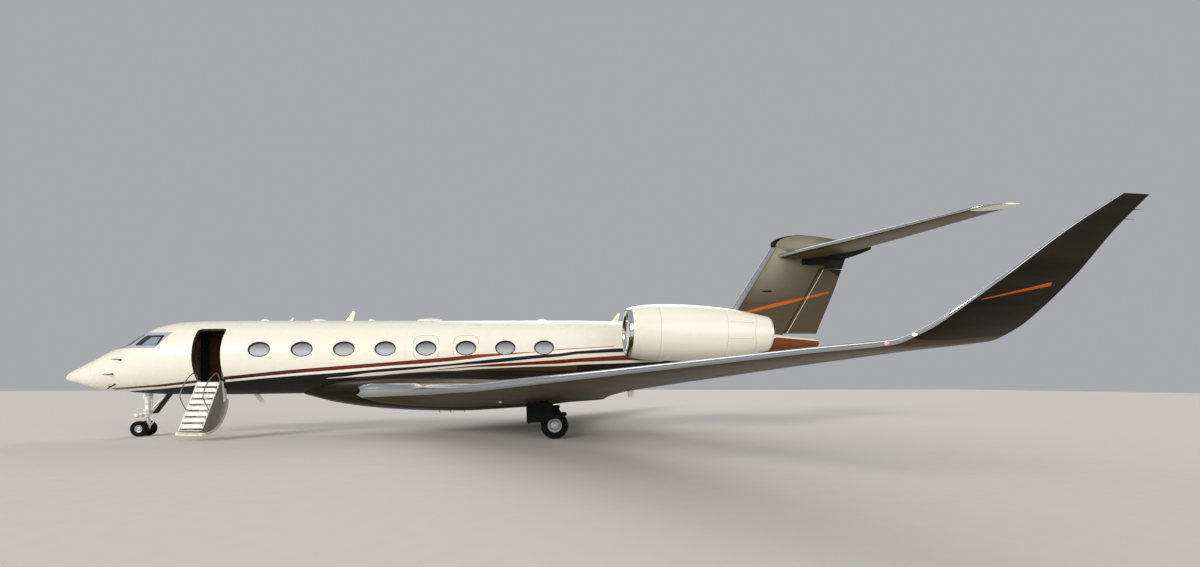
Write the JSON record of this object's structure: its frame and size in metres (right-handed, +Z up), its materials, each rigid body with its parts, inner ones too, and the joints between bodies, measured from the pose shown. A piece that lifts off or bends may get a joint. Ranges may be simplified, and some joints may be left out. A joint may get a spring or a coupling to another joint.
{
  "type": "business jet",
  "caption": "Long-range twin-engine business jet on its landing gear with swept wings, winglets, T-tail and an open airstair.",
  "frame": {"origin": "on the ground below the middle of the overall length, on the centre plane", "axes": "+X aft, -Y port, +Z up; the airframe sits 0.8 degrees nose-down on its gear"},
  "size_m": [30.4099, 30.3508, 7.835],
  "materials": {
    "ivory_paint": "gloss",
    "bronze_paint": "metallic gloss",
    "champagne_paint": "metallic gloss",
    "cockpit_glass": "gloss",
    "window_shade": "satin",
    "floor_panel": "satin",
    "wood_veneer": "gloss",
    "dark_panel": "satin",
    "engine_metal": "brushed",
    "wheel_alloy": "satin",
    "tyre_rubber": "matt",
    "gear_white": "gloss",
    "stair_white": "satin"
  },
  "bodies": {
    "airframe": {"nose_radome": "ivory_paint", "cockpit_shell": "ivory_paint", "cabin_shell_forward": "ivory_paint", "cabin_shell_aft": "ivory_paint", "aft_fuselage": "ivory_paint", "nacelle_left": "ivory_paint", "nacelle_right": "ivory_paint", "pylon_left": "ivory_paint", "pylon_right": "ivory_paint", "tail_cone": "bronze_paint", "belly_fairing": "bronze_paint", "fin": "bronze_paint", "tail_bullet": "bronze_paint", "wing_left": "champagne_paint", "wing_right": "champagne_paint", "flap_left": "champagne_paint", "flap_right": "champagne_paint", "stabilizer_left": "champagne_paint", "stabilizer_right": "champagne_paint", "windshield_left": "cockpit_glass", "windshield_right": "cockpit_glass", "side_window_left": "cockpit_glass", "side_window_right": "cockpit_glass", "cabin_windows_left": "window_shade", "cabin_windows_right": "window_shade", "cabin_floor": "floor_panel", "entry_cabinet": "wood_veneer", "cockpit_bulkhead": "wood_veneer", "instrument_panel": "dark_panel", "main_leg_left": "dark_panel", "main_leg_right": "dark_panel", "main_gear_door_left": "dark_panel", "main_gear_door_right": "dark_panel", "nose_gear_door": "dark_panel", "engine_core_left": "engine_metal", "engine_core_right": "engine_metal", "nose_leg": "gear_white"},
    "airstair": {"airstair_door": "ivory_paint", "airstair_steps": "stair_white"},
    "nose_steering": {"nose_fork": "gear_white"},
    "nose_wheel_pair": {"nose_wheels": "wheel_alloy", "nose_tyre_left": "tyre_rubber", "nose_tyre_right": "tyre_rubber"},
    "main_wheel_pair_left": {"main_wheels_left": "wheel_alloy", "main_tyre_outer_left": "tyre_rubber", "main_tyre_inner_left": "tyre_rubber"},
    "main_wheel_pair_right": {"main_wheels_right": "wheel_alloy", "main_tyre_outer_right": "tyre_rubber", "main_tyre_inner_right": "tyre_rubber"},
    "fan_left": {"fan_left": "engine_metal"},
    "fan_right": {"fan_right": "engine_metal"},
    "rudder": {"rudder": "bronze_paint"},
    "elevator_left": {"elevator_left": "champagne_paint"},
    "elevator_right": {"elevator_right": "champagne_paint"},
    "aileron_left": {"aileron_left": "champagne_paint"},
    "aileron_right": {"aileron_right": "champagne_paint"}
  },
  "joints": [
    {"name": "airstair_hinge", "type": "hinge", "parent": "airframe", "child": "airstair", "pos_m": [-9.975, -0.79, 1.65], "axis": [1, 0, 0], "range_deg": [-130, 0]},
    {"name": "nose_steering", "type": "hinge", "parent": "airframe", "child": "nose_steering", "pos_m": [-12.645, 0, 0.55], "axis": [0, 0, 1], "range_deg": [-80, 80]},
    {"name": "nose_axle", "type": "hinge", "parent": "nose_steering", "child": "nose_wheel_pair", "pos_m": [-12.775, 0, 0.27], "axis": [0, 1, 0], "continuous": true},
    {"name": "main_axle_left", "type": "hinge", "parent": "airframe", "child": "main_wheel_pair_left", "pos_m": [1.545, -2.345, 0.455], "axis": [0, 1, 0], "continuous": true},
    {"name": "fan_spin_left", "type": "hinge", "parent": "airframe", "child": "fan_left", "pos_m": [5.035, -2.42, 3.6], "axis": [1, 0, 0], "continuous": true},
    {"name": "main_axle_right", "type": "hinge", "parent": "airframe", "child": "main_wheel_pair_right", "pos_m": [1.545, 2.345, 0.455], "axis": [0, 1, 0], "continuous": true},
    {"name": "fan_spin_right", "type": "hinge", "parent": "airframe", "child": "fan_right", "pos_m": [5.035, 2.42, 3.6], "axis": [1, 0, 0], "continuous": true},
    {"name": "rudder_hinge", "type": "hinge", "parent": "airframe", "child": "rudder", "pos_m": [10.89273, 0, 3.86], "axis": [0.4949, 0, 0.869], "range_deg": [-25, 25]},
    {"name": "elevator_hinge_left", "type": "hinge", "parent": "airframe", "child": "elevator_left", "pos_m": [12.74606, -0.34, 7.09471], "axis": [-0.3524, 0.9358, -0.0119], "range_deg": [-24, 13]},
    {"name": "elevator_hinge_right", "type": "hinge", "parent": "airframe", "child": "elevator_right", "pos_m": [12.74606, 0.34, 7.09471], "axis": [0.3524, 0.9358, 0.0119], "range_deg": [-24, 13]},
    {"name": "aileron_hinge_left", "type": "hinge", "parent": "airframe", "child": "aileron_left", "pos_m": [4.58588, -9.9, 2.06511], "axis": [-0.4155, 0.9064, -0.0755], "range_deg": [-20, 20]},
    {"name": "aileron_hinge_right", "type": "hinge", "parent": "airframe", "child": "aileron_right", "pos_m": [4.58588, 9.9, 2.06511], "axis": [0.4155, 0.9064, 0.0755], "range_deg": [-20, 20]}
  ],
  "couplings": [
    {"joint": "elevator_hinge_right", "follows": "elevator_hinge_left", "ratio": 1},
    {"joint": "aileron_hinge_right", "follows": "aileron_hinge_left", "ratio": -1}
  ]
}
